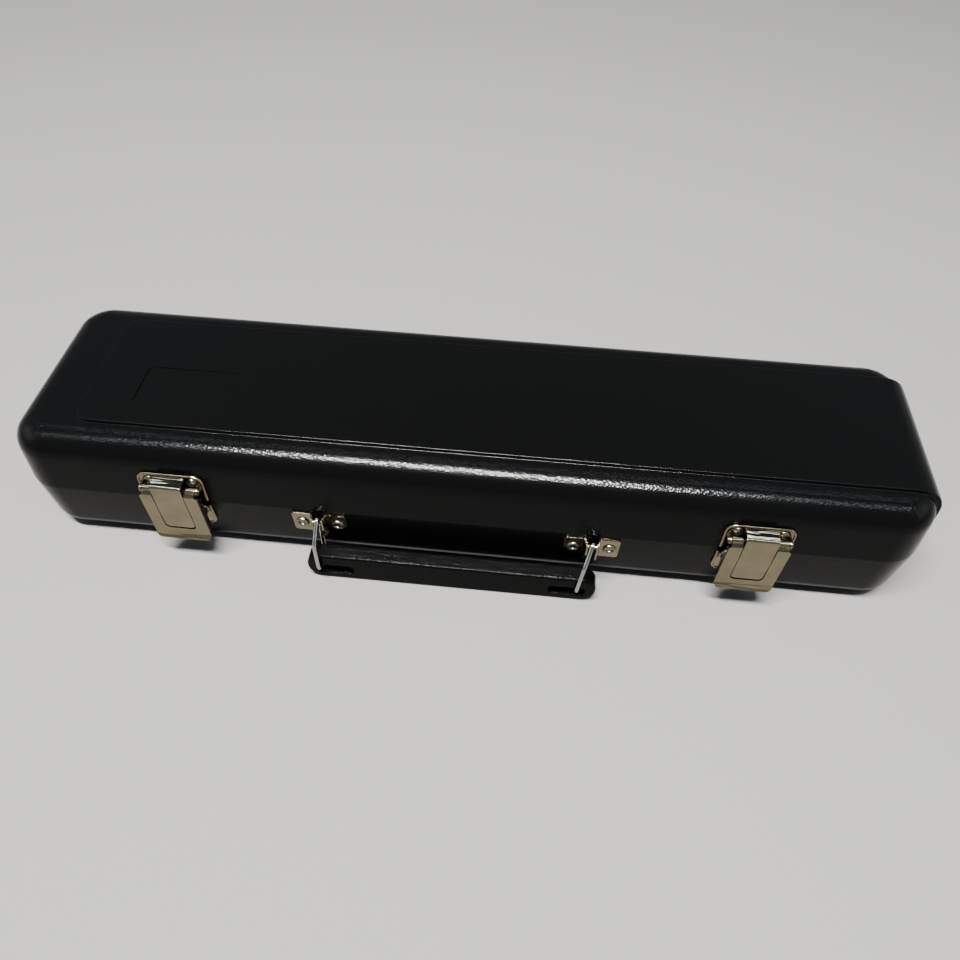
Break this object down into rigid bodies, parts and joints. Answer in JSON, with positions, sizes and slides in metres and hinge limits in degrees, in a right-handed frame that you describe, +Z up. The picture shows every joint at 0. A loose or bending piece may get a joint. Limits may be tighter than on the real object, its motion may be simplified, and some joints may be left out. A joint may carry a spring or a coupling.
{
  "type": "flute case",
  "caption": "Hard moulded case for a three-piece flute, with a hinged lid, two draw latches, a carrying handle on wire rings and a lined interior.",
  "frame": {"origin": "middle of the flat raised panel under the base, which the case rests on", "axes": "+X along the case to the end that the panels wrap, -Y towards the latches and handle, +Z up through the lid"},
  "size_m": [0.4174, 0.1235, 0.0673],
  "materials": {
    "black_abs": "black moulded plastic, fine pebble grain, semi-gloss",
    "plush": "dark blue short-pile plush over foam",
    "handle_black": "black moulded plastic, smooth face, grained top",
    "nickel_plate": "bright nickel plate on stamped steel",
    "rivet_nickel": "nickel plate, slightly dull",
    "pin_steel": "plain steel wire",
    "ring_chrome": "polished chrome wire"
  },
  "bodies": {
    "base": {"base_shell": "black_abs", "base_insert": "plush", "left_base_plate": "nickel_plate", "right_base_plate": "nickel_plate", "latch_base_rivets": "rivet_nickel", "left_handle_bracket": "nickel_plate", "right_handle_bracket": "nickel_plate", "bracket_rivets": "rivet_nickel", "left_base_leaf": "nickel_plate", "right_base_leaf": "nickel_plate", "base_hinge_rivets": "rivet_nickel", "left_hinge_pin": "pin_steel", "right_hinge_pin": "pin_steel"},
    "lid": {"lid_shell": "black_abs", "lid_liner": "plush", "left_lid_plate": "nickel_plate", "right_lid_plate": "nickel_plate", "left_latch_cover": "nickel_plate", "right_latch_cover": "nickel_plate", "latch_lid_rivets": "rivet_nickel", "left_lid_leaf": "nickel_plate", "right_lid_leaf": "nickel_plate", "lid_hinge_rivets": "rivet_nickel", "left_lever_pin": "pin_steel", "right_lever_pin": "pin_steel"},
    "left_lever": {"left_latch_lever": "nickel_plate"},
    "right_lever": {"right_latch_lever": "nickel_plate"},
    "left_ring": {"left_handle_ring": "ring_chrome"},
    "right_ring": {"right_handle_ring": "ring_chrome"},
    "handle": {"handle_bar": "handle_black"}
  },
  "joints": [
    {"name": "lid_hinge", "type": "hinge", "parent": "base", "child": "lid", "pos_m": [0, 0.0543, 0.036], "axis": [-1, 0, 0], "range_deg": [0, 110]},
    {"name": "left_lever_swing", "type": "hinge", "parent": "lid", "child": "left_lever", "pos_m": [-0.131, -0.0542, 0.0464], "axis": [-1, 0, 0], "range_deg": [0, 110]},
    {"name": "right_lever_swing", "type": "hinge", "parent": "lid", "child": "right_lever", "pos_m": [0.131, -0.0542, 0.0464], "axis": [-1, 0, 0], "range_deg": [0, 110]},
    {"name": "left_ring_swing", "type": "hinge", "parent": "base", "child": "left_ring", "pos_m": [-0.0654, -0.0546, 0.032], "axis": [-1, 0, 0], "range_deg": [0, 125]},
    {"name": "right_ring_swing", "type": "hinge", "parent": "base", "child": "right_ring", "pos_m": [0.0604, -0.0546, 0.032], "axis": [-1, 0, 0], "range_deg": [0, 125]},
    {"name": "handle_tilt", "type": "hinge", "parent": "left_ring", "child": "handle", "pos_m": [-0.0654, -0.0593, 0.0121], "axis": [-1, 0, 0], "range_deg": [-5, 5]}
  ],
  "couplings": [
    {"joint": "right_ring_swing", "follows": "left_ring_swing", "ratio": 1}
  ]
}
